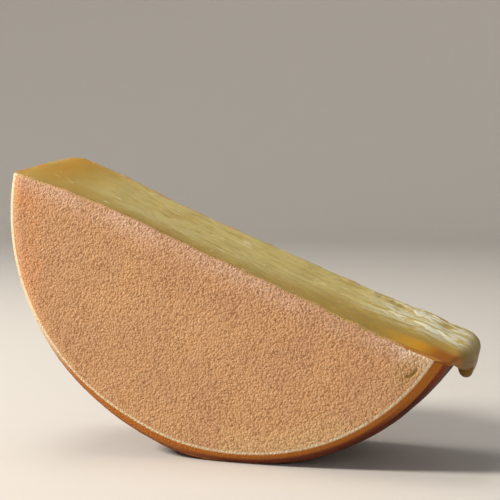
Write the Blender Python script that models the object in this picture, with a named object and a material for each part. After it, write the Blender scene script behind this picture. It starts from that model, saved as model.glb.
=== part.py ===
# Raclette half wheel: a cut wheel of washed-rind cheese with its cut face melted, leaning with one
# end high. Metres, +Z up. One round rind face looks along -Y, and the thickness runs along +Y.
# The origin is on the ground, midway between the ends and midway between the two faces.

import math

import bpy
from mathutils import Vector

# The wheel before it was cut. It sags a little, so it is less deep than it is wide.
wheel_radius = 0.1025
wheel_thickness = 0.061
sag = 0.0060
edge_inset_full = 0.0070
edge_depth = 0.0070
cut_edge_inset_full = 0.0007
cut_edge_depth = 0.0028
rim_fullness = 0.0015

# The cut, below the wheel's centre. It runs askew: its back edge lies higher than its front edge.
cut_below_centre_front = 0.0139
cut_below_centre_back = 0.0089
lean = math.radians(22.3)

# Where the wheel stands
ground_below_centre = 0.0970
centre_x = 0.0037
flat_spot_softness = 0.0005
slump = 0.0022
slump_at_face = 0.2
slump_angle = math.radians(8.0)
slump_width = math.radians(11.0)

# The melted cut face. Each swelling has a height, then its middle and its width as shares of the
# cut's length from the high end; a hollow has a height below nought.
dish = 0.0016
swell = 0.0012
low_end_from = 0.62
low_end_full = 0.92
back_swellings = ((0.0013, 0.03, 0.06), (0.0016, 0.14, 0.10), (0.0012, 0.92, 0.06))
front_swellings = ((0.0007, 0.28, 0.10), (-0.0010, 0.87, 0.10))
front_sag = 0.0021
front_sag_length = 0.10
front_sag_settles = 0.55
ridge_height = 0.0005
ridge_count = 4.5
ridge_twist = 3.0

# The high end's corner, melted round: how far under the cut it starts and how far along it ends
corner_melt = 0.0043
corner_length = 0.0050
corner_probe = 0.0010

# The melted tongue that hangs over the low end, thin at the front face and fullest towards the back
tongue_overhang = 0.0043
tongue_cling = 0.0058
tongue_hang = 0.0066
tongue_centre = 0.74
tongue_half_width = 0.19
tongue_squareness = 2.5
tongue_fullness = 0.6
overhang_from = 0.05
overhang_full = 0.6
back_thinning = 0.35
back_thinning_from = 0.9
lip = 0.0004
lip_cling = 0.0007
lip_shoulder = 0.0012
shoulder = 0.0100
shoulder_drop = 0.75
shoulder_top_pull = 0.5
shoulder_end_pull = 0.4
tip_width = 0.72
tip_depth = 0.5

# Fineness
slice_count = 30
rim_steps = 70
melt_steps = 44
corner_steps = 6
shoulder_steps = 7
tip_steps = 5
edge_turns = (0, 22, 45, 68, 90)
sharp_angle = math.radians(50.0)


def smooth_step(low, high, value):
    share = min(1.0, max(0.0, (value - low) / (high - low)))
    return share * share * (3.0 - 2.0 * share)


def hump(value, middle, width):
    return math.exp(-(((value - middle) / width) ** 2))


def mix(a, b, share):
    return a + (b - a) * share


def bezier(points, share):
    """A point on the curve that these control points give."""
    while len(points) > 1:
        points = [a.lerp(b, share) for a, b in zip(points, points[1:])]
    return points[0]


def rounded_in(depth, inset, reach):
    """How far an outline draws in at this share of the thickness, for an edge rounded this deep."""
    to_face = min(depth, 1.0 - depth) * wheel_thickness
    share = max(0.0, 1.0 - to_face / reach)
    return inset * (1.0 - math.sqrt(1.0 - share**2))


def from_middle(depth):
    """1 midway between the faces, 0 at either face."""
    return 1.0 - (2.0 * depth - 1.0) ** 2


def rim_extra(depth):
    """How far the rim stands out at this share of the thickness: full midway, rounded at the faces."""
    return rim_fullness * from_middle(depth) - rounded_in(depth, edge_inset_full, edge_depth)


def rim_point(angle, depth):
    """A point of the rim in the wheel's own plane, angle 0 straight away from the cut."""
    settled = mix(slump_at_face, 1.0, from_middle(depth))
    extra = rim_extra(depth) + slump * hump(angle, slump_angle, slump_width) * settled
    across = (wheel_radius + extra) * math.sin(angle)
    away = (wheel_radius - sag + extra) * math.cos(angle)
    return Vector((across, -away))


def cut_level(depth):
    """How high the cut lies in the wheel's own plane."""
    return -mix(cut_below_centre_front, cut_below_centre_back, depth)


def rim_angle_below(depth, side, distance):
    """The angle of the rim point that lies this far under the cut, on side +1 or -1."""
    reach = wheel_radius - sag + rim_extra(depth)
    return side * math.acos((distance - cut_level(depth)) / reach)


def melt_height(share, depth):
    """How far the melted face stands over the cut plane, share 0 at the high end."""
    back = sum(height * hump(share, middle, width) for height, middle, width in back_swellings)
    front = sum(height * hump(share, middle, width) for height, middle, width in front_swellings)
    sagged = front_sag * hump(share, 0.0, front_sag_length)
    sagged *= 1.0 - smooth_step(0.0, front_sag_settles, depth)
    across = math.sin(math.pi * depth)
    low_end = smooth_step(low_end_from, low_end_full, share)
    ridges = ridge_height * math.sin(2.0 * math.pi * ridge_count * depth + ridge_twist * share)
    middle = mix(-dish, swell, low_end) * across
    ridges *= low_end * across
    edge = rounded_in(depth, cut_edge_inset_full, cut_edge_depth)
    return mix(front, back, depth) + middle + ridges - edge - sagged


def tongue_share(depth):
    """1 where the tongue is full, 0 where the melt only makes a thin lip."""
    from_middle = min(1.0, abs(depth - tongue_centre) / tongue_half_width)
    return (1.0 - from_middle**tongue_squareness) ** tongue_fullness


def outline(depth):
    """The closed outline at this share of the thickness, clockwise seen from the front,
    in the wheel's own plane."""
    level = cut_level(depth)
    over = smooth_step(overhang_from, overhang_full, depth)
    over *= 1.0 - back_thinning * smooth_step(back_thinning_from, 1.0, depth)
    hang = tongue_share(depth)
    cling = mix(lip_cling, tongue_cling, over)
    overhang = mix(lip, tongue_overhang, over)
    down = Vector((math.sin(lean), -math.cos(lean)))
    out = Vector((math.cos(lean), math.sin(lean)))

    # The rim, from the low end past the ground to the high end
    start = rim_angle_below(depth, 1.0, cling)
    end = rim_angle_below(depth, -1.0, corner_melt)
    loop = [rim_point(mix(start, end, i / rim_steps), depth) for i in range(rim_steps + 1)]

    # The melted corner at the high end, which runs straight on into the melted face
    left = rim_point(rim_angle_below(depth, -1.0, 0.0), depth).x
    right = rim_point(rim_angle_below(depth, 1.0, 0.0), depth).x
    top_left = left + corner_length
    top_right = right - mix(lip_shoulder, shoulder, over)

    def melt_point(x):
        return Vector((x, level + melt_height((x - left) / (right - left), depth)))

    top = melt_point(top_left)
    onwards = (melt_point(top_left + corner_probe) - top) * (corner_length / corner_probe)
    corner = [loop[-1], top - onwards, top]
    loop += [bezier(corner, i / corner_steps) for i in range(1, corner_steps)]

    # The melted face, from the high end to the low end
    loop += [melt_point(mix(top_left, top_right, i / melt_steps)) for i in range(melt_steps + 1)]

    # Over the low end and down the outside of the tongue
    corner_point = Vector((right, level))
    shoulder_end = corner_point + out * overhang + down * (cling * shoulder_drop)
    shoulder_top = melt_point(top_right)
    reach = (shoulder_end - shoulder_top).length
    shoulder_curve = [
        shoulder_top,
        shoulder_top + Vector((shoulder_top_pull * reach, 0.0)),
        shoulder_end - down * (shoulder_end_pull * reach),
        shoulder_end,
    ]
    loop += [bezier(shoulder_curve, i / shoulder_steps) for i in range(1, shoulder_steps + 1)]

    # Round its tip and up its inside to the rim
    inner = loop[0]
    length = mix(lip, tongue_hang, hang)
    width = out.dot(shoulder_end - inner) * mix(1.0, tip_width, hang)
    tip_middle = inner + out * (0.5 * width) + down * length
    for i in range(tip_steps + 1):
        turn = math.pi * i / tip_steps
        side = out * (0.5 * width * math.cos(turn))
        loop.append(tip_middle + side + down * (tip_depth * width * math.sin(turn)))
    return loop


def stand_up(point, depth):
    """A point of the wheel's own plane, leaned over and set on the flat spot."""
    x = centre_x + point.x * math.cos(lean) + point.y * math.sin(lean)
    z = ground_below_centre - point.x * math.sin(lean) + point.y * math.cos(lean)
    soft = flat_spot_softness
    if z < -soft:
        z = 0.0
    elif z < soft:
        z = (z + soft) ** 2 / (4.0 * soft)
    return (x, (depth - 0.5) * wheel_thickness, z)


def slice_depths():
    """Shares of the thickness, closer together in the rounded edges."""
    edge = edge_depth / wheel_thickness
    rounding = [edge * (1.0 - math.cos(math.radians(turn))) for turn in edge_turns]
    inner = slice_count - 2 * len(rounding)
    middle = [mix(edge, 1.0 - edge, (i + 1) / (inner + 1)) for i in range(inner)]
    return rounding + middle + [1.0 - depth for depth in reversed(rounding)]


def make_cheese():
    """The half wheel as one closed body: slices through the thickness, joined face by face."""
    rings = [[stand_up(p, depth) for p in outline(depth)] for depth in slice_depths()]
    size = len(rings[0])
    points = [point for ring in rings for point in ring]
    back = len(points) - size
    faces = [[size - 1 - i for i in range(size)], [back + i for i in range(size)]]
    for ring in range(len(rings) - 1):
        for i in range(size):
            j = (i + 1) % size
            a = ring * size
            faces.append([a + i, a + j, a + size + j, a + size + i])
    mesh = bpy.data.meshes.new("raclette_half_wheel")
    mesh.from_pydata(points, [], faces)
    mesh.shade_smooth()
    mesh.set_sharp_from_angle(angle=sharp_angle)
    cheese = bpy.data.objects.new("raclette_half_wheel", mesh)
    bpy.context.scene.collection.objects.link(cheese)
    return cheese


def make_rind_material():
    """Washed rind: peach to tan, dry and dull."""
    rind = bpy.data.materials.new("washed_rind")
    rind.use_nodes = True
    shader = rind.node_tree.nodes["Principled BSDF"]
    shader.inputs["Base Color"].default_value = (0.62, 0.33, 0.14, 1.0)
    shader.inputs["Roughness"].default_value = 0.7
    shader.inputs["Metallic"].default_value = 0.0
    return rind


for existing in list(bpy.data.objects):
    bpy.data.objects.remove(existing)

half_wheel = make_cheese()
half_wheel.data.materials.append(make_rind_material())
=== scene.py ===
import math

import bmesh
import bpy
import numpy as np
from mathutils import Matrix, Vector, geometry


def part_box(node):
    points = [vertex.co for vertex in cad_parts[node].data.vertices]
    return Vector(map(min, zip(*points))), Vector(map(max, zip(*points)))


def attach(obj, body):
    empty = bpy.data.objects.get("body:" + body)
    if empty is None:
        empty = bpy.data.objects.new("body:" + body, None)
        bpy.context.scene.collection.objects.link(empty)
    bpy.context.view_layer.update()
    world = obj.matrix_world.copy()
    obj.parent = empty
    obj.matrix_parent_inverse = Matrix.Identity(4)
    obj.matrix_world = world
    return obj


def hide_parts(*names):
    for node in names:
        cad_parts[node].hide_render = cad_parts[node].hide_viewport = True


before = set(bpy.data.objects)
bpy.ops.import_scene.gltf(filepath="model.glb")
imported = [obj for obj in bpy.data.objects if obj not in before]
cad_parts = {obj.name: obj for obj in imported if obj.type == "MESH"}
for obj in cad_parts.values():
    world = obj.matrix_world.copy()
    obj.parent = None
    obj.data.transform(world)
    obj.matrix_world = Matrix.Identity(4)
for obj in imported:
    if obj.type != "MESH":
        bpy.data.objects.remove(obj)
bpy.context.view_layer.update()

cadNode = "raclette_half_wheel"
mm = 0.001

# The cut wheel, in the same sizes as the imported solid
wheel = {
    "radius": 102.5 * mm,
    "thickness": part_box(cadNode)[1].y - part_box(cadNode)[0].y,
    "sag": 6.0 * mm,
    "edgeInset": 7.0 * mm,
    "edgeDepth": 7.0 * mm,
    "cutEdgeInset": 0.7 * mm,
    "cutEdgeDepth": 2.8 * mm,
    "fullness": 1.5 * mm,
    "cutFront": 13.9 * mm,
    "cutBack": 8.9 * mm,
    "lean": math.radians(22.3),
    "centreX": 3.7 * mm,
    "centreZ": 97.0 * mm,
    "softness": 0.5 * mm,
    "slump": 2.2 * mm,
    "slumpAtFace": 0.2,
    "slumpAngle": math.radians(8.0),
    "slumpWidth": math.radians(11.0),
    "rimTurn": 2.75,  # how far round the rim is left, in radians
}

# The melted cut face. A swelling has a height, then its middle and its width as shares of the
# cut's length from the high end
melt = {
    "backSwellings": ((1.3 * mm, 0.03, 0.06), (1.6 * mm, 0.14, 0.10), (1.2 * mm, 0.92, 0.06)),
    "frontSwellings": ((0.7 * mm, 0.28, 0.10), (-1.0 * mm, 0.87, 0.10)),
    "frontSag": 2.1 * mm,
    "frontSagLength": 0.10,
    "frontSagSettles": 0.55,
    "dish": 1.6 * mm,
    "swell": 1.2 * mm,
    "lowEnd": (0.62, 0.92),
    "ridgeHeight": 0.5 * mm,
    "ridgeCount": 4.5,
    "ridgeTwist": 3.0,
    "cornerMelt": 4.3 * mm,
    "cornerLength": 5.0 * mm,
    "cornerProbe": 1.0 * mm,
    "cornerSteps": 12,
}


def smoothStep(low, high, value):
    share = np.clip((value - low) / (high - low), 0.0, 1.0)
    return share * share * (3.0 - 2.0 * share)


def hump(value, middle, width):
    return np.exp(-(((value - middle) / width) ** 2))


def mix(a, b, share):
    return a + (b - a) * share


def roundedIn(depth, inset, reach):  # how far an outline draws in near the faces
    toFace = np.minimum(depth, 1.0 - depth) * wheel["thickness"]
    share = np.clip(1.0 - toFace / reach, 0.0, 1.0)
    return inset * (1.0 - np.sqrt(1.0 - share**2))


def fromMiddle(depth):  # 1 midway between the faces, 0 at either face
    return 1.0 - (2.0 * depth - 1.0) ** 2


def rimExtra(depth):  # how far the rim stands out: full midway, rounded at the faces
    rounded = roundedIn(depth, wheel["edgeInset"], wheel["edgeDepth"])
    return wheel["fullness"] * fromMiddle(depth) - rounded


def rimPoint(angle, depth, inset=0.0):  # in the wheel's own plane, angle 0 straight away from the cut
    settled = wheel["slump"] * hump(angle, wheel["slumpAngle"], wheel["slumpWidth"])
    extra = rimExtra(depth) + settled * mix(wheel["slumpAtFace"], 1.0, fromMiddle(depth)) - inset
    across = (wheel["radius"] + extra) * np.sin(angle)
    away = (wheel["radius"] - wheel["sag"] + extra) * np.cos(angle)
    return across, -away


def cutLevel(depth):
    return -mix(wheel["cutFront"], wheel["cutBack"], depth)


def rimAngleBelow(depth, side, distance):  # the rim's angle this far under the cut
    reach = wheel["radius"] - wheel["sag"] + rimExtra(depth)
    return side * np.arccos((distance - cutLevel(depth)) / reach)


def standUp(p, q, depth):  # leaned over and set on the flat spot
    lean, soft = wheel["lean"], wheel["softness"]
    x = wheel["centreX"] + p * math.cos(lean) + q * math.sin(lean)
    z = wheel["centreZ"] - p * math.sin(lean) + q * math.cos(lean)
    z = np.where(z < -soft, 0.0, np.where(z < soft, (z + soft) ** 2 / (4.0 * soft), z))
    y = (depth - 0.5) * wheel["thickness"] + 0.0 * x
    return np.stack([x, y, z], -1)


def bezier(points, share):
    points = [np.asarray(point)[None, :] for point in points]
    share = share[:, None]
    while len(points) > 1:
        points = [a + (b - a) * share for a, b in zip(points, points[1:])]
    return points[0]


def meltHeight(share, depth):  # the melted face over the cut plane, share 0 at the high end
    back = sum(height * hump(share, middle, width) for height, middle, width in melt["backSwellings"])
    front = sum(height * hump(share, middle, width) for height, middle, width in melt["frontSwellings"])
    sagged = melt["frontSag"] * hump(share, 0.0, melt["frontSagLength"])
    sagged = sagged * (1.0 - smoothStep(0.0, melt["frontSagSettles"], depth))
    across = np.sin(math.pi * depth)
    lowEnd = smoothStep(*melt["lowEnd"], share)
    turn = 2.0 * math.pi * melt["ridgeCount"] * depth + melt["ridgeTwist"] * share
    ridges = melt["ridgeHeight"] * np.sin(turn) * lowEnd * across
    middle = mix(-melt["dish"], melt["swell"], lowEnd) * across
    edge = roundedIn(depth, wheel["cutEdgeInset"], wheel["cutEdgeDepth"])
    return mix(front, back, depth) + middle + ridges - edge - sagged


def cutEnds(depth):  # where the cut plane meets the rim, at the high and the low end
    left = rimPoint(rimAngleBelow(depth, -1.0, 0.0), depth)[0]
    right = rimPoint(rimAngleBelow(depth, 1.0, 0.0), depth)[0]
    return left, right


def cornerBend(depth):  # the high corner's middle point, straight on from the melted face
    left, right = cutEnds(depth)
    length, probe = melt["cornerLength"], melt["cornerProbe"]
    first, second = meltHeight(np.array([length, length + probe]) / (right - left), depth)
    return left, cutLevel(depth) + first - (second - first) * length / probe


def makeObject(name, points, faces, attributes=()):
    mesh = bpy.data.meshes.new(name)
    mesh.from_pydata(points.reshape(-1, 3).tolist(), [], faces)
    for key, values in attributes:
        layer = mesh.attributes.new(key, "FLOAT", "POINT")
        layer.data.foreach_set("value", np.ascontiguousarray(values, np.float32).ravel())
    mesh.shade_smooth()
    made = bpy.data.objects.new(name, mesh)
    bpy.context.scene.collection.objects.link(made)
    return made


def ringFaces(ringCount, size):  # quads between closed rings of equal size
    faces = []
    for ring in range(ringCount - 1):
        a = ring * size
        for i in range(size):
            j = (i + 1) % size
            faces.append([a + i, a + j, a + size + j, a + size + i])
    return faces


# One small builder for every node: a socket among the inputs is linked, anything else is set
def addNode(tree, kind, inputs=None, **settings):
    node = tree.nodes.new(kind)
    for key, value in settings.items():
        setattr(node, key, value)
    for key, value in (inputs or {}).items():
        if isinstance(value, bpy.types.NodeSocket):
            tree.links.new(value, node.inputs[key])
        else:
            node.inputs[key].default_value = value
    return node


def linear(hexColour):  # an sRGB hex value as linear RGBA
    parts = [int(hexColour[i : i + 2], 16) / 255.0 for i in (1, 3, 5)]
    return [c / 12.92 if c <= 0.04045 else ((c + 0.055) / 1.055) ** 2.4 for c in parts] + [1.0]


def newMaterial(name):
    material = bpy.data.materials.new(name)
    material.use_nodes = True
    return material, material.node_tree, material.node_tree.nodes["Principled BSDF"]


def newGeometryTree(name, sockets):
    tree = bpy.data.node_groups.new(name, "GeometryNodeTree")
    tree.interface.new_socket("Geometry", in_out="INPUT", socket_type="NodeSocketGeometry")
    tree.interface.new_socket("Geometry", in_out="OUTPUT", socket_type="NodeSocketGeometry")
    for label, kind in sockets:
        tree.interface.new_socket(label, in_out="INPUT", socket_type="NodeSocket" + kind)
    return tree, tree.nodes.new("NodeGroupInput"), tree.nodes.new("NodeGroupOutput")


def bakeTree(piece, tree, values):  # run the tree on the piece and keep the result as a plain mesh
    modifier = piece.modifiers.new(tree.name, "NODES")
    modifier.node_group = tree
    for item in tree.interface.items_tree:
        if item.in_out == "INPUT" and item.name in values:
            modifier[item.identifier] = values[item.name]
    bpy.context.view_layer.update()
    graph = bpy.context.evaluated_depsgraph_get()
    baked = bpy.data.meshes.new_from_object(
        piece.evaluated_get(graph), preserve_all_data_layers=True, depsgraph=graph
    )
    piece.modifiers.clear()
    piece.data = baked
    baked.name = piece.name
    baked.shade_smooth()


def turnOutwards(piece):
    work = bmesh.new()
    work.from_mesh(piece.data)
    bmesh.ops.recalc_face_normals(work, faces=work.faces)
    work.to_mesh(piece.data)
    work.free()


def settle(piece):
    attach(piece, "root")
    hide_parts(cadNode)
    print(piece.name, len(piece.data.vertices), "points")


def maskOf(tree, *ramps, strength=1.0):  # smooth ramps multiplied, each given as value, from, to
    mask = strength
    for value, low, high in ramps:
        ramp = addNode(
            tree, "ShaderNodeMapRange", {0: value, 1: low, 2: high}, interpolation_type="SMOOTHSTEP"
        )
        mask = addNode(
            tree, "ShaderNodeMath", {0: ramp.outputs[0], 1: mask}, operation="MULTIPLY"
        ).outputs[0]
    return mask


def layered(tree, colour, *layers):  # colours laid one over another, each given as mask, hex
    colour = linear(colour)
    for mask, hexColour in layers:
        colour = addNode(
            tree, "ShaderNodeMix", {0: mask, 6: colour, 7: linear(hexColour)}, data_type="RGBA"
        ).outputs[2]
    return colour


def readAttributes(tree, *names):
    return [addNode(tree, "ShaderNodeAttribute", attribute_name=name).outputs["Fac"] for name in names]


# The two round rind faces: pimpled slabs with rounded edges
face = {
    "pointSpacing": 0.41 * mm,
    "edgeSpacing": 0.55 * mm,
    "edgeMargin": 0.246 * mm,
    "slabDepth": 2.8 * mm,
    "roundSteps": 11,
    "innerWall": 0.97,
    "pimpleSpacing": 1.0 * mm,
    "pimpleHeight": 0.42 * mm,
    "waveHeight": 0.5 * mm,
    "frontProud": (0.35 * mm, 0.1 * mm),
    "backProud": (-0.3 * mm, -0.1 * mm),
    "proudChange": (0.3, 0.8),
    "proudStart": (0.0, 0.03),
    "ripple": 0.14 * mm,
    "rippleLengths": (1.9 * mm, 4.7 * mm, 3.1 * mm),
    "rippleShare": 0.6,
    "rippleEnd": (0.85, 0.95),
    "cornerGap": 0.6 * mm,
    "lowCornerSteps": 7,
    "edgeCalm": (0.1, 0.8),
    "edgeRelief": (0.8, 0.05),
    "calmCorner": (1.0 * mm, 4.5 * mm),
    "crack": ((89.2, -24.9), (91.3, -24.3), (91.6, -20.4)),
    "crackWidth": 0.34 * mm,
    "crackDepth": 1.1 * mm,
    "crackSteps": 40,
    "crackRows": (-0.28 * mm, -0.1 * mm, 0.1 * mm, 0.28 * mm),
    "crackClear": 0.5 * mm,
    "crackCalm": 0.8,
    "stainReach": 6.0 * mm,
}


def faceLoop(depth, proudEnds):  # the slab's outline, from the low end round the rim and along the cut
    depth = np.float64(depth)
    arcCount = int(wheel["rimTurn"] * wheel["radius"] / face["edgeSpacing"])
    topCount = int(2.0 * wheel["radius"] / face["edgeSpacing"])
    left, right = cutEnds(depth)
    x = np.linspace(left + melt["cornerLength"], right - face["cornerGap"], topCount)
    share = (x - left) / (right - left)
    short, long, other = face["rippleLengths"]
    ripple = np.sin(x / short) * np.sin(x / long + 1.0) + face["rippleShare"] * np.sin(x / other)
    proud = mix(*proudEnds, smoothStep(*face["proudChange"], share))
    proud = proud + face["ripple"] * ripple * (1.0 - smoothStep(*face["rippleEnd"], share))
    proud = proud * smoothStep(*face["proudStart"], share)
    top = np.stack([x, cutLevel(depth) + meltHeight(share, depth) + proud], -1)
    start = rimAngleBelow(depth, 1.0, cutLevel(depth) - top[-1, 1] + face["cornerGap"])
    end = rimAngleBelow(depth, -1.0, melt["cornerMelt"])
    arc = np.stack(rimPoint(np.linspace(start, end, arcCount), depth), -1)
    corner = bezier([arc[-1], cornerBend(depth), top[0]], np.linspace(0, 1, melt["cornerSteps"])[1:-1])
    lowBend = (right, top[-1, 1])
    lowCorner = bezier([top[-1], lowBend, arc[0]], np.linspace(0, 1, face["lowCornerSteps"])[1:-1])
    onRim = [
        np.ones(len(arc)),
        np.linspace(1, 0, len(corner)),
        np.zeros(len(top)),
        np.linspace(0, 1, len(lowCorner)),
    ]
    return np.concatenate([arc, corner, top, lowCorner]), np.concatenate(onRim)


def pointsInside(loop, spacing, margin):  # a triangular lattice of points inside the outline
    low, high = loop.min(0), loop.max(0)
    rows = np.arange(low[1], high[1], spacing * math.sqrt(0.75))
    columns = np.arange(low[0], high[0], spacing)
    x, y = np.meshgrid(columns, rows)
    x = (x + 0.5 * spacing * (np.arange(len(rows)) % 2)[:, None]).ravel()
    y = y.ravel()
    inside = np.zeros(len(x), bool)
    nearest = np.full(len(x), 1.0)
    for (ax, ay), (bx, by) in zip(loop, np.roll(loop, -1, 0)):
        crosses = (ay > y) != (by > y)
        if ay != by:
            inside ^= crosses & (x < (bx - ax) * (y - ay) / (by - ay) + ax)
        nearest = np.minimum(nearest, (x - ax) ** 2 + (y - ay) ** 2)
    kept = inside & (nearest > margin**2)
    return np.stack([x[kept], y[kept]], -1)


def makeFace(name, atFront):
    lastTurn = math.acos(1.0 - face["slabDepth"] / wheel["edgeDepth"])
    turns = np.linspace(0, lastTurn, face["roundSteps"])
    depths = wheel["edgeDepth"] * (1.0 - np.cos(turns)) / wheel["thickness"]
    proudEnds = face["frontProud"] if atFront else face["backProud"]
    if not atFront:
        depths = 1.0 - depths
    loops = [faceLoop(depth, proudEnds)[0] for depth in depths]
    onRim = faceLoop(depths[0], proudEnds)[1]
    size = len(loops[0])
    lattice = pointsInside(loops[0], face["pointSpacing"], face["edgeMargin"])
    crackLine = bezier(np.array(face["crack"]) * mm, np.linspace(0, 1, face["crackSteps"]))
    if atFront:  # more points where the crack is cut
        apart = np.linalg.norm(lattice[:, None] - crackLine[None, ::4], axis=2).min(1)
        along = np.gradient(crackLine, axis=0)[::2]
        across = np.stack([along[:, 1], -along[:, 0]], -1) / np.linalg.norm(along, axis=1)[:, None]
        extra = [crackLine[::2] + across * aside for aside in face["crackRows"]]
        lattice = np.concatenate([lattice[apart > face["crackClear"]], *extra])
    flat = np.concatenate([loops[0], lattice])
    found = geometry.delaunay_2d_cdt(
        [Vector(point) for point in flat / mm], [], [list(range(size))], 1, 1e-6
    )
    source = [names[0] if names else -1 for names in found[3]]
    capFaces = [[source[i] for i in corners] for corners in found[2]]
    middle = loops[-1].mean(0)
    inner = middle + (loops[-1] - middle) * face["innerWall"]
    outlines = [flat, *loops[1:], inner]
    outlineDepths = [*depths, depths[-1]]
    points = np.concatenate([standUp(o[:, 0], o[:, 1], d) for o, d in zip(outlines, outlineDepths)])
    starts = [0] + [len(flat) + size * i for i in range(len(outlines) - 1)]
    sideFaces = []
    for a, b in zip(starts, starts[1:]):
        for i in range(size):
            j = (i + 1) % size
            sideFaces.append([a + i, a + j, b + j, b + i])
    innerFace = [starts[-1] + i for i in range(size)]

    flatAll = np.concatenate(outlines)
    rounding = np.concatenate([np.zeros(len(flat)), *[np.full(size, math.sin(t)) for t in turns[1:]]])
    rounding = np.concatenate([rounding, np.full(size, math.sin(lastTurn))])
    relief = mix(1.0, face["edgeRelief"][1], smoothStep(*face["edgeCalm"], rounding))
    relief[:size] = face["edgeRelief"][0]
    relief[-size:] = 0.0
    left, right = cutEnds(depths[0])
    fromCorner = np.hypot(flatAll[:, 0] - right, flatAll[:, 1] - cutLevel(depths[0]))
    relief *= smoothStep(*face["calmCorner"], fromCorner)
    reach = np.hypot(flatAll[:, 0] / wheel["radius"], flatAll[:, 1] / (wheel["radius"] - wheel["sag"]))
    crackShare = np.zeros(len(flatAll))
    stain = np.zeros(len(flatAll))
    if atFront:
        apart = np.linalg.norm(lattice[:, None] - crackLine[None, ::2], axis=2).min(1)
        cut = np.exp(-((apart / face["crackWidth"]) ** 2))
        points[size : len(flat), 1] += face["crackDepth"] * cut
        relief[size : len(flat)] -= face["crackCalm"] * cut
        crackShare[size : len(flat)] = cut
        stain[size : len(flat)] = np.exp(-((apart / face["stainReach"]) ** 2))
    sideRim = [np.zeros(len(lattice)), *[onRim] * len(turns)]
    return makeObject(
        name,
        points,
        capFaces + sideFaces + [innerFace],
        [
            ("fromRim", (1.0 - reach) * wheel["radius"] / mm),
            ("fromCut", (cutLevel(depths[0]) - flatAll[:, 1]) / mm),
            ("along", (flatAll[:, 0] - left) / (right - left)),
            ("relief", relief),
            ("rounding", rounding),
            ("onRim", np.concatenate([onRim, *sideRim])),
            ("crack", crackShare),
            ("stain", stain),
        ],
    )


# Pimpled rind: rounded bumps of two sizes with small pits between them, pushed out of the surface.
# The scale of every pattern is one over its real size
def makePimpleTree():
    sockets = [
        ("Pimple Spacing", "Float"),
        ("Pimple Height", "Float"),
        ("Wave Height", "Float"),
        ("Seed", "Int"),
        ("Material", "Material"),
    ]
    tree, given, result = newGeometryTree("pimpledRind", sockets)
    given = given.outputs
    place = addNode(tree, "GeometryNodeInputPosition").outputs[0]
    shift = addNode(tree, "ShaderNodeCombineXYZ", {0: given["Seed"], 1: given["Seed"]}).outputs[0]
    wobble = addNode(
        tree, "ShaderNodeTexNoise", {"Vector": place, "Scale": 1.0 / (2.381 * mm), "Detail": 2.0}
    ).outputs["Color"]
    moved = addNode(
        tree,
        "ShaderNodeVectorMath",
        {0: wobble, 1: (1.1 * mm, 1.1 * mm, 1.1 * mm), 2: place},
        operation="MULTIPLY_ADD",
    ).outputs[0]
    moved = addNode(tree, "ShaderNodeVectorMath", {0: moved, 1: shift}, operation="ADD").outputs[0]
    domes = 0.0
    for finer, share in ((1.0, 0.68), (1.75, 0.32)):
        scale = addNode(
            tree, "ShaderNodeMath", {0: finer, 1: given["Pimple Spacing"]}, operation="DIVIDE"
        ).outputs[0]
        cells = addNode(tree, "ShaderNodeTexVoronoi", {"Vector": moved, "Scale": scale})
        dome = maskOf(tree, (cells.outputs["Distance"], 0.72, 0.12), strength=share)
        domes = addNode(tree, "ShaderNodeMath", {0: dome, 1: domes}, operation="ADD").outputs[0]
    patches = addNode(
        tree, "ShaderNodeTexNoise", {"Vector": moved, "Scale": 1.0 / (10.526 * mm), "Detail": 3.0}
    )
    strength = addNode(
        tree, "ShaderNodeMapRange", {0: patches.outputs[0], 1: 0.3, 2: 0.7, 3: 0.6, 4: 1.2}
    ).outputs[0]
    waves = addNode(
        tree, "ShaderNodeTexNoise", {"Vector": moved, "Scale": 1.0 / (23.81 * mm), "Detail": 1.5}
    )
    relief = addNode(tree, "GeometryNodeInputNamedAttribute", {0: "relief"}).outputs[0]
    height = 0.0
    for level, middle, size in (
        (domes, 0.4, given["Pimple Height"]),
        (waves.outputs[0], 0.5, given["Wave Height"]),
    ):
        level = addNode(tree, "ShaderNodeMath", {0: level, 1: middle}, operation="SUBTRACT").outputs[0]
        height = addNode(
            tree, "ShaderNodeMath", {0: level, 1: size, 2: height}, operation="MULTIPLY_ADD"
        ).outputs[0]
    for factor in (strength, relief):
        height = addNode(tree, "ShaderNodeMath", {0: height, 1: factor}, operation="MULTIPLY").outputs[0]
    finishTree(tree, given, result, height, {"pimple": domes})
    return tree


def finishTree(tree, given, result, height, kept):  # push out, keep what the material reads, dress
    outwards = addNode(tree, "GeometryNodeInputNormal").outputs[0]
    push = addNode(
        tree, "ShaderNodeVectorMath", {0: outwards, "Scale": height}, operation="SCALE"
    ).outputs[0]
    shape = addNode(tree, "GeometryNodeSetPosition", {0: given["Geometry"], "Offset": push})
    for name, value in kept.items():
        shape = addNode(
            tree,
            "GeometryNodeStoreNamedAttribute",
            {"Geometry": shape.outputs[0], "Name": name, "Value": value},
            data_type="FLOAT",
            domain="POINT",
        )
    real = addNode(tree, "GeometryNodeRealizeInstances", {0: shape.outputs[0]}).outputs[0]
    dressed = addNode(tree, "GeometryNodeSetMaterial", {0: real, "Material": given["Material"]})
    tree.links.new(dressed.outputs[0], result.inputs[0])


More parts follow.
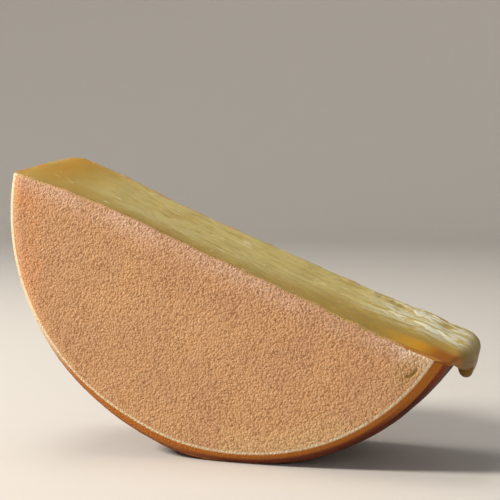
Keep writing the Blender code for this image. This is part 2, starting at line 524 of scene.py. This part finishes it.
# Washed rind of the faces: dry and dull, a pale bloom at the cut's edge. Pits darkened with painted
# shade, bump tops lightened with painted highlight and bloom
def makeFaceRind():
    material, tree, shader = newMaterial("washedRindFace")
    place = addNode(tree, "ShaderNodeTexCoord").outputs["Object"]
    pimple, fromRim, fromCut, along, rounding, onRim, crack, stain = readAttributes(
        tree, "pimple", "fromRim", "fromCut", "along", "rounding", "onRim", "crack", "stain"
    )
    cloudy, speckle, grain = [
        addNode(
            tree,
            "ShaderNodeTexNoise",
            {"Vector": place, "Scale": 1.0 / size, "Detail": 4.0, "Roughness": 0.6},
        ).outputs[0]
        for size in (26.316 * mm, 1.6129 * mm, 0.66667 * mm)
    ]
    crumbs = addNode(
        tree, "ShaderNodeTexVoronoi", {"Vector": place, "Scale": 1.0 / (0.9091 * mm)}
    ).outputs["Distance"]
    lowSide = addNode(
        tree, "ShaderNodeMapRange", {0: along, 1: 0.08, 2: 0.45, 3: -0.42, 4: 0.0}
    ).outputs[0]
    outwards = addNode(tree, "ShaderNodeMath", {0: rounding, 1: lowSide}, operation="ADD").outputs[0]
    edgeOn = (onRim, 0.2, 0.7)
    colour = layered(
        tree,
        "#c1936a",
        (maskOf(tree, (cloudy, 0.36, 0.64)), "#c99a6c"),
        (
            maskOf(
                tree,
                (along, 0.3, 0.02),
                (fromRim, 26.0, 6.0),
                (cloudy, 0.35, 0.6),
                strength=0.6,
            ),
            "#cf8a59",
        ),
        (maskOf(tree, (fromCut, 11.0, 0.5), (cloudy, 0.28, 0.6), strength=0.65), "#d2ae96"),
        (
            maskOf(
                tree,
                (along, 0.45, 0.7),
                (fromRim, 20.0, 7.0),
                (cloudy, 0.35, 0.65),
                strength=0.6,
            ),
            "#cfae7c",
        ),
        (
            maskOf(
                tree,
                (along, 0.88, 0.97),
                (fromCut, 8.0, 2.0),
                (speckle, 0.35, 0.6),
                (rounding, 0.3, 0.1),
            ),
            "#e0c9b0",
        ),
        (maskOf(tree, (stain, 0.1, 0.9), strength=0.5), "#b5905a"),
        # painted shade: the pits between the bumps darkened
        (maskOf(tree, (pimple, 0.26, 0.05), strength=0.6), "#8c5a36"),
        # pale bloom and painted highlight on the bump tops
        (maskOf(tree, (pimple, 0.5, 0.95), strength=0.3), "#e6c3a0"),
        (maskOf(tree, (speckle, 0.6, 0.72), strength=0.4), "#e8d0b4"),
        (maskOf(tree, (onRim, 0.7, 0.2), (rounding, 0.15, 0.5), strength=0.8), "#c39a5e"),
        (maskOf(tree, (onRim, 0.7, 0.2), (rounding, 0.05, 0.3), (along, 0.9, 0.96)), "#b5792a"),
        # painted highlight: a pale line along the rounded edge of the face
        (maskOf(tree, edgeOn, (outwards, 0.12, 0.2), (speckle, 0.3, 0.5)), "#dccaa8"),
        (maskOf(tree, edgeOn, (outwards, 0.26, 0.36), (along, 0.12, 0.3)), "#b0681e"),
        # dark red-brown rind at the right edge, deepened with painted shade
        (
            maskOf(tree, edgeOn, (outwards, 0.5, 0.7), (along, 0.5, 0.7), (along, 1.02, 0.95)),
            "#6b2c10",
        ),
        # painted shade inside the crack's groove
        (maskOf(tree, (crack, 0.05, 0.5), strength=0.9), "#4a3016"),
    )
    tree.links.new(colour, shader.inputs["Base Color"])
    rough = addNode(
        tree, "ShaderNodeMapRange", {0: speckle, 1: 0.3, 2: 0.7, 3: 0.62, 4: 0.82}
    ).outputs[0]
    tree.links.new(rough, shader.inputs["Roughness"])
    crumbly = addNode(
        tree, "ShaderNodeBump", {"Height": crumbs, "Distance": 0.4 * mm, "Strength": 0.9}, invert=True
    )
    bump = addNode(
        tree,
        "ShaderNodeBump",
        {"Height": grain, "Distance": 0.18 * mm, "Strength": 0.8, "Normal": crumbly.outputs[0]},
    )
    tree.links.new(bump.outputs[0], shader.inputs["Normal"])
    shader.inputs["Subsurface Weight"].default_value = 0.04
    shader.inputs["Subsurface Radius"].default_value = (1.0, 0.5, 0.25)
    shader.inputs["Subsurface Scale"].default_value = 0.6 * mm
    shader.inputs["IOR"].default_value = 1.45
    shader.inputs["Specular IOR Level"].default_value = 0.35
    return material


# The rim between the two faces: a thin smeared rind that runs over the high corner
rim = {
    "spacing": 0.7 * mm,
    "tuck": 0.5 * mm,
    "groove": 0.05 * mm,
    "grooveWidth": 1.6 * mm,
    "wall": 1.2 * mm,
    "flap": 5.0 * mm,
    "flapRise": 0.03 * mm,
    "flapDip": 0.3 * mm,
    "flapSteps": 10,
    "cutGap": 0.2 * mm,
    "reliefFade": 3.0 * mm,
    "grainSpacing": 2.4 * mm,
    "grainHeight": 0.14 * mm,
    "waveHeight": 0.7 * mm,
}


def rimPath(depth):
    depth = np.float64(depth)
    toFace = min(depth, 1.0 - depth) * wheel["thickness"]
    tuck = face["slabDepth"] - rim["tuck"]
    groove = rim["groove"] * (1.0 - smoothStep(tuck, tuck + rim["grooveWidth"], toFace))
    arcCount = int(wheel["rimTurn"] * wheel["radius"] / rim["spacing"])
    start = rimAngleBelow(depth, 1.0, rim["cutGap"])
    end = rimAngleBelow(depth, -1.0, melt["cornerMelt"])
    arc = np.stack(rimPoint(np.linspace(start, end, arcCount), depth, groove), -1)
    left, right = cutEnds(depth)
    first = left + melt["cornerLength"]
    x = np.linspace(first, first + rim["flap"], rim["flapSteps"])
    dip = rim["flapRise"] - rim["flapDip"] * smoothStep(0.0, 1.0, (x - first) / rim["flap"]) - groove
    top = np.stack([x, cutLevel(depth) + meltHeight((x - left) / (right - left), depth) + dip], -1)
    bend = np.add(cornerBend(depth), (groove, rim["flapRise"] - groove))
    corner = bezier([arc[-1], bend, top[0]], np.linspace(0, 1, melt["cornerSteps"])[1:-1])
    return np.concatenate([arc, corner, top])


def makeRim():
    first = (face["slabDepth"] - rim["tuck"]) / wheel["thickness"]
    count = int(wheel["thickness"] / rim["spacing"])
    depths = np.linspace(first, 1.0 - first, count)
    loops = []
    for depth in depths:
        path = rimPath(depth)
        along = np.gradient(path, axis=0)
        along /= np.linalg.norm(along, axis=1)[:, None]
        wall = path + np.stack([along[:, 1], -along[:, 0]], -1) * rim["wall"]
        loop = np.concatenate([path, wall[::-1]])
        loops.append(standUp(loop[:, 0], loop[:, 1], depth))
    size = len(path)
    faces = ringFaces(count, 2 * size)
    faces += [list(range(2 * size)), [(count - 1) * 2 * size + i for i in range(2 * size)]]
    index = np.arange(size) / (size - 1.0)
    isOuter = np.concatenate([np.ones(size), np.zeros(size)])
    toFace = np.minimum(depths, 1.0 - depths) * wheel["thickness"]
    fade = smoothStep(0.0, rim["reliefFade"], toFace - toFace[0])
    return makeObject(
        "rimRind",
        np.concatenate(loops),
        faces,
        [
            ("along", np.tile(np.concatenate([index, index[::-1]]), count)),
            ("fromFace", np.repeat(toFace / mm, 2 * size)),
            ("relief", np.outer(fade, isOuter)),
        ],
    )


# Smeared rind of the rim: moist, with a dull sheen. Amber near the faces, red-brown between them, made
# dark with painted shade
def makeRimRindMaterial():
    material, tree, shader = newMaterial("smearedRimRind")
    place = addNode(tree, "ShaderNodeTexCoord").outputs["Object"]
    fromFace, along, pimple = readAttributes(tree, "fromFace", "along", "pimple")
    cloudy, grain = [
        addNode(
            tree,
            "ShaderNodeTexNoise",
            {"Vector": place, "Scale": 1.0 / size, "Detail": 5.0, "Roughness": 0.6},
        ).outputs[0]
        for size in (14.286 * mm, 1.42857 * mm)
    ]
    reach = addNode(
        tree, "ShaderNodeMath", {0: cloudy, 1: 16.0, 2: fromFace}, operation="MULTIPLY_ADD"
    ).outputs[0]
    colour = layered(
        tree,
        # red-brown base, made very dark as painted shade
        "#4e1f0c",
        (maskOf(tree, (cloudy, 0.35, 0.65)), "#64290f"),
        (maskOf(tree, (reach, 17.0, 9.0), (along, 0.2, 0.45), strength=0.7), "#86401a"),
        (maskOf(tree, (reach, 14.0, 8.0), (along, 0.25, 0.4)), "#a9651f"),
        (maskOf(tree, (reach, 26.0, 12.0), (along, 0.07, 0.0)), "#8a3a12"),
        # painted shade in the pits
        (maskOf(tree, (pimple, 0.3, 0.05), strength=0.3), "#451a0a"),
        # painted highlight: the pale edge line on the rim's left side near the faces
        (maskOf(tree, (along, 0.64, 0.74), (fromFace, 5.6, 4.2)), "#dccaa8"),
        (maskOf(tree, (along, 0.955, 0.975)), "#b49244"),
        (
            maskOf(
                tree,
                (along, 0.94, 0.96),
                (along, 0.99, 0.97),
                (cloudy, 0.5, 0.62),
                strength=0.5,
            ),
            "#b46c1f",
        ),
    )
    tree.links.new(colour, shader.inputs["Base Color"])
    rough = addNode(
        tree, "ShaderNodeMapRange", {0: cloudy, 1: 0.3, 2: 0.7, 3: 0.52, 4: 0.7}
    ).outputs[0]
    tree.links.new(rough, shader.inputs["Roughness"])
    bump = addNode(tree, "ShaderNodeBump", {"Height": grain, "Distance": 0.15 * mm, "Strength": 0.6})
    tree.links.new(bump.outputs[0], shader.inputs["Normal"])
    shader.inputs["Subsurface Weight"].default_value = 0.15
    shader.inputs["Subsurface Radius"].default_value = (1.0, 0.4, 0.15)
    shader.inputs["Subsurface Scale"].default_value = 1.5 * mm
    shader.inputs["IOR"].default_value = 1.45
    shader.inputs["Specular IOR Level"].default_value = 0.25
    return material


# The paste: the body of the cheese, melted on the cut, with the tongue over the low end
paste = {
    "spacing": 0.56 * mm,
    "acrossSpacing": 0.58 * mm,
    "underRind": 2.0 * mm,
    "firstDepth": 0.5 * mm,
    "edgeRound": 1.3 * mm,
    "frontDip": 0.7 * mm,
    "backDip": 0.2 * mm,
    "dipEnds": (1.8 * mm, 4.2 * mm),
    "dipSettles": (0.3, 0.75),
    "flapDip": 0.06 * mm,
    "flapEnds": (0.8 * mm, 4.2 * mm),
    "cornerGap": 0.6 * mm,
    "overhang": 4.3 * mm,
    "overFrom": 0.05,
    "overFull": 0.6,
    "backThinning": 0.35,
    "backThinningFrom": 0.9,
    "cling": 5.8 * mm,
    "hang": 6.6 * mm,
    "tongueCentre": 0.74,
    "tongueHalfWidth": 0.19,
    "tongueSquareness": 2.5,
    "tongueFullness": 0.6,
    "tuckedLip": -0.5 * mm,
    "lip": 0.4 * mm,
    "lipCling": 0.7 * mm,
    "lipGrows": (1.5 * mm, 4.0 * mm),
    "lipShoulder": 1.2 * mm,
    "shoulder": 10.0 * mm,
    "shoulderDrop": 0.75,
    "topPull": 0.5,
    "endPull": 0.4,
    "tipWidth": 0.72,
    "tipDepth": 0.5,
    "hiddenSteps": 44,
    "shoulderSteps": 31,
    "outsideSteps": 13,
    "tipSteps": 19,
    "insideSteps": 9,
    "dripLevels": (0.0, 0.4, 0.8, 1.2, 1.6),
    "reliefFade": 2.6 * mm,
    "wrinkleLength": 11.0 * mm,
    "wrinkleWidth": 2.8 * mm,
    "wrinkleHeight": 0.6 * mm,
    "fleckLength": 8.0 * mm,
    "fleckWidth": 1.9 * mm,
    "fleckHeight": 0.22 * mm,
    "waveHeight": 1.0 * mm,
    "crumpleSize": 4.5 * mm,
    "crumpleHeight": 1.9 * mm,
}


def pasteLoop(depth):
    depth = np.float64(depth)
    toFace = min(depth, 1.0 - depth) * wheel["thickness"]
    level = cutLevel(depth)
    over = smoothStep(paste["overFrom"], paste["overFull"], depth)
    over *= 1.0 - paste["backThinning"] * smoothStep(paste["backThinningFrom"], 1.0, depth)
    aside = min(1.0, abs(depth - paste["tongueCentre"]) / paste["tongueHalfWidth"])
    hang = (1.0 - aside ** paste["tongueSquareness"]) ** paste["tongueFullness"]
    cling = mix(paste["lipCling"], paste["cling"], over)
    lip = mix(paste["tuckedLip"], paste["lip"], smoothStep(*paste["lipGrows"], toFace))
    overhang = mix(lip, paste["overhang"], over)
    down = np.array([math.sin(wheel["lean"]), -math.cos(wheel["lean"])])
    out = np.array([math.cos(wheel["lean"]), math.sin(wheel["lean"])])

    start = rimAngleBelow(depth, 1.0, cling)
    end = rimAngleBelow(depth, -1.0, melt["cornerMelt"])
    hidden = np.linspace(start, end, paste["hiddenSteps"])
    hidden = np.stack(rimPoint(hidden, depth, paste["underRind"]), -1)
    left, right = cutEnds(depth)
    topLeft = left + melt["cornerLength"] + paste["cornerGap"]
    topRight = right - mix(paste["lipShoulder"], paste["shoulder"], over)

    x = np.linspace(topLeft, topRight, int(2.0 * wheel["radius"] / paste["spacing"]))
    share = (x - left) / (right - left)
    drop = np.clip(paste["edgeRound"] + paste["firstDepth"] - toFace, 0.0, paste["edgeRound"])
    rounded = paste["edgeRound"] - math.sqrt(paste["edgeRound"] ** 2 - drop**2)
    dip = paste["frontDip"] if depth < 0.5 else paste["backDip"]
    dip = dip * (1.0 - smoothStep(*paste["dipEnds"], toFace))
    dip = dip * (1.0 - smoothStep(*paste["dipSettles"], share))
    flap = paste["flapDip"] * (1.0 - smoothStep(*paste["flapEnds"], x - topLeft))
    top = np.stack([x, level + meltHeight(share, depth) - rounded - dip - flap], -1)

    shoulderEnd = np.array([right, level]) + out * overhang + down * (cling * paste["shoulderDrop"])
    reach = np.linalg.norm(shoulderEnd - top[-1])
    ahead = top[-1] + [paste["topPull"] * reach, 0.0]
    above = shoulderEnd - down * (paste["endPull"] * reach)
    bends = [top[-1], ahead, above, shoulderEnd]
    shoulder = bezier(bends, np.linspace(0, 1, paste["shoulderSteps"])[1:])
    onRim = np.array(rimPoint(start, depth))
    width = out @ (shoulderEnd - onRim) * mix(1.0, paste["tipWidth"], hang)
    tipMiddle = onRim + out * (0.5 * width) + down * mix(paste["lip"], paste["hang"], hang)
    turn = np.linspace(0, math.pi, paste["tipSteps"])[:, None]
    tip = tipMiddle + out * (0.5 * width * np.cos(turn))
    tip = tip + down * (paste["tipDepth"] * width * np.sin(turn))
    outside = bezier([shoulderEnd, tip[0]], np.linspace(0, 1, paste["outsideSteps"])[1:-1])
    inside = bezier([tip[-1], onRim], np.linspace(0, 1, paste["insideSteps"])[1:])
    parts = [hidden, top, shoulder, outside, tip, inside]
    loop = np.concatenate(parts)
    sizes = [len(part) for part in parts]

    steps = np.linalg.norm(np.diff(loop, axis=0, prepend=loop[:1]), axis=1)
    length = np.cumsum(steps) - np.sum(steps[: sizes[0] + 1])
    along = share[0] + length / (right - left)
    along[: sizes[0]] = 0.0
    levels = paste["dripLevels"]
    drip = [np.linspace(low, high, size) for low, high, size in zip(levels, levels[1:], sizes[2:])]
    drip = np.concatenate([np.zeros(sizes[0] + sizes[1]), *drip])
    shown = np.concatenate([np.zeros(sizes[0]), np.ones(sum(sizes[1:5])), np.linspace(1, 0, sizes[5])])
    return loop, along, drip, shown * smoothStep(0.0, paste["reliefFade"], toFace - paste["firstDepth"])


def makePaste():
    first = paste["firstDepth"] / wheel["thickness"]
    count = int(wheel["thickness"] / paste["acrossSpacing"])
    depths = np.linspace(first, 1.0 - first, count)
    rings = [pasteLoop(depth) for depth in depths]
    size = len(rings[0][0])
    points = np.concatenate([standUp(r[0][:, 0], r[0][:, 1], d) for r, d in zip(rings, depths)])
    faces = ringFaces(count, size)
    faces += [list(range(size)), [(count - 1) * size + i for i in range(size)]]
    return makeObject(
        "meltedPaste",
        points,
        faces,
        [
            ("along", np.concatenate([r[1] for r in rings])),
            ("across", np.repeat(depths, size)),
            ("drip", np.concatenate([r[2] for r in rings])),
            ("relief", np.concatenate([r[3] for r in rings])),
        ],
    )


# Flow wrinkles: skin drawn out along the cut, raised flecks in it and slow waves below it. The paste
# paints the flecks pale, partly as painted glints
def makeWrinkleTree():
    sockets = [
        ("Wrinkle Length", "Float"),
        ("Wrinkle Width", "Float"),
        ("Wrinkle Height", "Float"),
        ("Fleck Length", "Float"),
        ("Fleck Width", "Float"),
        ("Fleck Height", "Float"),
        ("Wave Height", "Float"),
        ("Crumple Size", "Float"),
        ("Crumple Height", "Float"),
        ("Piece Length", "Float"),
        ("Piece Width", "Float"),
        ("Seed", "Int"),
        ("Material", "Material"),
    ]
    tree, given, result = newGeometryTree("flowWrinkles", sockets)
    given = given.outputs
    along, across, drip, relief = [
        addNode(tree, "GeometryNodeInputNamedAttribute", {0: name}).outputs[0]
        for name in ("along", "across", "drip", "relief")
    ]
    place = addNode(tree, "GeometryNodeInputPosition").outputs[0]
    patterns = []
    for kind, distortion, seedShift in (("Wrinkle", 0.9, 0.0), ("Fleck", 0.4, 7.3)):
        parts = []
        wholes = (("Piece Length", "Length", along), ("Piece Width", "Width", across))
        for whole, period, share in wholes:
            turns = addNode(
                tree,
                "ShaderNodeMath",
                {0: given[whole], 1: given[f"{kind} {period}"]},
                operation="DIVIDE",
            ).outputs[0]
            turned = addNode(tree, "ShaderNodeMath", {0: turns, 1: share}, operation="MULTIPLY")
            parts.append(turned.outputs[0])
        slant = addNode(
            tree, "ShaderNodeMath", {0: parts[0], 1: 0.5, 2: parts[1]}, operation="MULTIPLY_ADD"
        ).outputs[0]
        seed = addNode(
            tree, "ShaderNodeMath", {0: given["Seed"], 1: seedShift}, operation="ADD"
        ).outputs[0]
        flow = addNode(tree, "ShaderNodeCombineXYZ", {0: parts[0], 1: slant, 2: seed}).outputs[0]
        noise = addNode(
            tree,
            "ShaderNodeTexNoise",
            {"Vector": flow, "Scale": 1.0, "Detail": 4.0, "Roughness": 0.55, "Distortion": distortion},
        ).outputs[0]
        patterns.append(noise)
    streak = maskOf(tree, (patterns[0], 0.3, 0.7))
    patch = addNode(
        tree, "ShaderNodeTexNoise", {"Vector": place, "Scale": 1.0 / (13.333 * mm), "Detail": 2.0}
    ).outputs[0]
    fleck = maskOf(
        tree,
        (patterns[1], 0.58, 0.68),
        (patch, 0.42, 0.58),
        (drip, 0.5, 0.1),
        (along, 0.04, 0.06),
    )
    amberBand = maskOf(tree, (along, 0.84, 0.93), (across, 0.42, 0.22))
    smooth = addNode(tree, "ShaderNodeMath", {0: 1.0, 1: amberBand}, operation="SUBTRACT").outputs[0]
    highEnd = addNode(
        tree, "ShaderNodeMapRange", {0: along, 1: 0.08, 2: 0.4, 3: 0.12, 4: 0.4}
    ).outputs[0]
    lowEnd = maskOf(tree, (along, 0.68, 0.9), (across, 0.15, 0.5), strength=0.6)
    strength = addNode(tree, "ShaderNodeMath", {0: highEnd, 1: lowEnd}, operation="ADD").outputs[0]
    calmDrip = addNode(
        tree, "ShaderNodeMapRange", {0: drip, 1: 0.0, 2: 0.3, 3: 1.0, 4: 0.05}
    ).outputs[0]
    for factor in (smooth, calmDrip):
        strength = addNode(
            tree, "ShaderNodeMath", {0: strength, 1: factor}, operation="MULTIPLY"
        ).outputs[0]
    slow = addNode(
        tree, "ShaderNodeTexNoise", {"Vector": place, "Scale": 1.0 / (16.667 * mm), "Detail": 1.0}
    ).outputs[0]
    crumpleScale = addNode(
        tree, "ShaderNodeMath", {0: 1.0, 1: given["Crumple Size"]}, operation="DIVIDE"
    ).outputs[0]
    crumple = addNode(
        tree, "ShaderNodeTexNoise", {"Vector": place, "Scale": crumpleScale, "Detail": 2.0}
    ).outputs[0]
    nearBack = maskOf(tree, (across, 0.7, 0.92), (along, 0.6, 0.85), (drip, 0.3, 0.0))
    height = 0.0
    for level, middle, size, factor in (
        (streak, 0.5, given["Wrinkle Height"], strength),
        (crumple, 0.5, given["Crumple Height"], nearBack),
        (fleck, 0.0, given["Fleck Height"], smooth),
        (slow, 0.5, given["Wave Height"], 1.0),
    ):
        level = addNode(tree, "ShaderNodeMath", {0: level, 1: middle}, operation="SUBTRACT").outputs[0]
        level = addNode(tree, "ShaderNodeMath", {0: level, 1: factor}, operation="MULTIPLY").outputs[0]
        height = addNode(
            tree, "ShaderNodeMath", {0: level, 1: size, 2: height}, operation="MULTIPLY_ADD"
        ).outputs[0]
    height = addNode(tree, "ShaderNodeMath", {0: height, 1: relief}, operation="MULTIPLY").outputs[0]
    finishTree(tree, given, result, height, {"streak": streak, "fleck": fleck})
    return tree


# Melted and set paste: fatty and translucent. Straw yellow, amber at the ends, pale where skin set
def makePasteMaterial():
    material, tree, shader = newMaterial("meltedCheesePaste")
    place = addNode(tree, "ShaderNodeTexCoord").outputs["Object"]
    across, along, drip, streak, fleck = readAttributes(
        tree, "across", "along", "drip", "streak", "fleck"
    )
    cloudy, grain = [
        addNode(
            tree, "ShaderNodeTexNoise", {"Vector": place, "Scale": 1.0 / size, "Detail": 4.0}
        ).outputs[0]
        for size in (20.833 * mm, 1.11111 * mm)
    ]
    middle, skin = (across, 0.12, 0.4), (across, 0.3, 0.5)
    colour = layered(
        tree,
        "#aa8d40",
        (maskOf(tree, (cloudy, 0.3, 0.7)), "#af9648"),
        (
            maskOf(
                tree,
                middle,
                (along, 0.06, 0.2),
                (streak, -0.4, 0.6),
                (cloudy, 0.1, 0.5),
                strength=0.9,
            ),
            "#c6b676",
        ),
        (
            maskOf(tree, (streak, 0.35, 0.05), (along, 0.1, 0.4), (drip, 0.4, 0.1), strength=0.2),
            "#98802f",
        ),
        (maskOf(tree, (along, 0.26, 0.04), strength=0.5), "#ad8834"),
        # painted shadow of the proud rind edge along the front of the paste
        (maskOf(tree, (across, 0.13, 0.03), (along, 0.7, 0.4), strength=0.85), "#93681c"),
        (maskOf(tree, (along, 0.1, 0.04)), "#b49240"),
        (maskOf(tree, (along, 0.12, 0.04), (across, 0.1, 0.5), (cloudy, 0.1, 0.4)), "#b68a2e"),
        (maskOf(tree, (along, 0.5, 0.75), (across, 0.6, 0.3), strength=0.8), "#a4873a"),
        (
            maskOf(tree, (along, 0.74, 0.88), skin, (streak, 0.4, 0.75), (drip, 0.35, 0.1)),
            "#dedbc6",
        ),
        # pale flecks of set skin, lightened further as painted glints
        (maskOf(tree, (fleck, 0.2, 0.9), strength=0.7), "#ddd7b2"),
        (maskOf(tree, (drip, 0.1, 0.5), strength=0.9), "#70501a"),
        (maskOf(tree, (along, 0.83, 0.94), (across, 0.34, 0.16)), "#c89118"),
        (maskOf(tree, (along, 0.93, 0.98), (across, 0.38, 0.14)), "#9c5a06"),
        (maskOf(tree, (drip, 0.6, 1.15)), "#8a6628"),
    )
    tree.links.new(colour, shader.inputs["Base Color"])
    rough = addNode(
        tree, "ShaderNodeMapRange", {0: fleck, 1: 0.0, 2: 1.0, 3: 0.44, 4: 0.26}
    ).outputs[0]
    tree.links.new(rough, shader.inputs["Roughness"])
    bump = addNode(tree, "ShaderNodeBump", {"Height": grain, "Distance": 0.08 * mm, "Strength": 0.4})
    tree.links.new(bump.outputs[0], shader.inputs["Normal"])
    shader.inputs["Subsurface Weight"].default_value = 0.45
    shader.inputs["Subsurface Radius"].default_value = (1.0, 0.7, 0.25)
    shader.inputs["Subsurface Scale"].default_value = 3.0 * mm
    shader.inputs["IOR"].default_value = 1.46
    shader.inputs["Specular IOR Level"].default_value = 0.24
    return material


pimpleTree, wrinkleTree = makePimpleTree(), makeWrinkleTree()
faceRind = makeFaceRind()
for pieceName, atFront, seed in (("frontRind", True, 3), ("backRind", False, 11)):
    slab = makeFace(pieceName, atFront)
    turnOutwards(slab)
    bakeTree(
        slab,
        pimpleTree,
        {
            "Pimple Spacing": face["pimpleSpacing"],
            "Pimple Height": face["pimpleHeight"],
            "Wave Height": face["waveHeight"],
            "Seed": seed,
            "Material": faceRind,
        },
    )
    settle(slab)

band = makeRim()
turnOutwards(band)
bakeTree(
    band,
    pimpleTree,
    {
        "Pimple Spacing": rim["grainSpacing"],
        "Pimple Height": rim["grainHeight"],
        "Wave Height": rim["waveHeight"],
        "Seed": 5,
        "Material": makeRimRindMaterial(),
    },
)
settle(band)

body = makePaste()
turnOutwards(body)
bakeTree(
    body,
    wrinkleTree,
    {
        "Wrinkle Length": paste["wrinkleLength"],
        "Wrinkle Width": paste["wrinkleWidth"],
        "Wrinkle Height": paste["wrinkleHeight"],
        "Fleck Length": paste["fleckLength"],
        "Fleck Width": paste["fleckWidth"],
        "Fleck Height": paste["fleckHeight"],
        "Wave Height": paste["waveHeight"],
        "Crumple Size": paste["crumpleSize"],
        "Crumple Height": paste["crumpleHeight"],
        "Piece Length": 2.0 * wheel["radius"],
        "Piece Width": wheel["thickness"],
        "Seed": 4,
        "Material": makePasteMaterial(),
    },
)
settle(body)

# Studio: a pale floor that sweeps up all round, soft lamps and the photograph's viewpoint
studio = {
    "floorRadius": 1.5,
    "sweepRadius": 0.8,
    "wallTop": 2.2,
    "around": 64,
    "distance": 0.4855,
    "azimuth": math.radians(17.33),
    "elevation": math.radians(3.89),
    "aim": (0.0125, -0.5 * wheel["thickness"], 0.0886),
    "lensPixels": 1200.0,
    "imagePixels": 500.0,
    "sensorWidth": 36.0,
    "nearest": 0.01,
    "worldLight": 0.3,
    "lamps": (  # name, place, what it looks at, size, watts, colour
        ("keySoftbox", (-1.18, -0.60, 0.95), (0.0, 0.0, 0.05), 0.3, 32.0, "#fff6ea"),
        ("fillSoftbox", (0.50, -1.10, 0.45), (0.0, 0.0, 0.06), 0.8, 1.6, "#f6f6ff"),
        ("topSoftbox", (-0.35, 0.15, 1.15), (0.0, 0.0, 0.08), 0.5, 4.1, "#fffaf2"),
    ),
}


def makeFloor():
    profile = [(0.0, 0.0), (studio["floorRadius"], 0.0)]
    for turn in np.linspace(0.0, math.pi / 2, 13)[1:]:
        reach = studio["floorRadius"] + studio["sweepRadius"] * math.sin(turn)
        profile.append((reach, studio["sweepRadius"] * (1.0 - math.cos(turn))))
    profile.append((profile[-1][0], studio["wallTop"]))
    angles = np.linspace(0.0, 2.0 * math.pi, studio["around"], endpoint=False)
    points = [(0.0, 0.0, 0.0)]
    points += [(r * math.cos(a), r * math.sin(a), z) for r, z in profile[1:] for a in angles]
    n = studio["around"]
    faces = [[0, 1 + i, 1 + (i + 1) % n] for i in range(n)]
    for ring in range(len(profile) - 2):
        for i in range(n):
            a, b = 1 + ring * n + i, 1 + ring * n + (i + 1) % n
            faces.append([a, a + n, b + n, b])
    floor = makeObject("studioFloor", np.array(points), faces)
    material, tree, shader = newMaterial("palePaint")
    shader.inputs["Base Color"].default_value = linear("#d4d1cc")
    shader.inputs["Roughness"].default_value = 0.85
    floor.data.materials.append(material)


def makeLamp(name, place, target, size, power, colour):
    data = bpy.data.lights.new(name, "AREA")
    data.size = size
    data.energy = power
    data.color = linear(colour)[:3]
    lamp = bpy.data.objects.new(name, data)
    lamp.location = place
    lamp.rotation_euler = (Vector(target) - Vector(place)).to_track_quat("-Z", "Y").to_euler()
    bpy.context.scene.collection.objects.link(lamp)


def makeCamera():
    a, e = studio["azimuth"], studio["elevation"]
    away = Vector((math.sin(a) * math.cos(e), -math.cos(a) * math.cos(e), math.sin(e)))
    data = bpy.data.cameras.new("camera")
    data.sensor_width = studio["sensorWidth"]
    data.lens = studio["lensPixels"] / studio["imagePixels"] * data.sensor_width
    data.clip_start = studio["nearest"]
    camera = bpy.data.objects.new("camera", data)
    camera.location = Vector(studio["aim"]) + away * studio["distance"]
    camera.rotation_euler = (-away).to_track_quat("-Z", "Y").to_euler()
    bpy.context.scene.collection.objects.link(camera)
    bpy.context.scene.camera = camera


makeFloor()
for lampSettings in studio["lamps"]:
    makeLamp(*lampSettings)
world = bpy.data.worlds.new("studioWorld")
world.use_nodes = True
world.node_tree.nodes["Background"].inputs["Color"].default_value = linear("#e6e8ec")
world.node_tree.nodes["Background"].inputs["Strength"].default_value = studio["worldLight"]
bpy.context.scene.world = world
bpy.context.scene.view_settings.view_transform = "Standard"
makeCamera()
print("studio", len(studio["lamps"]), "lamps")
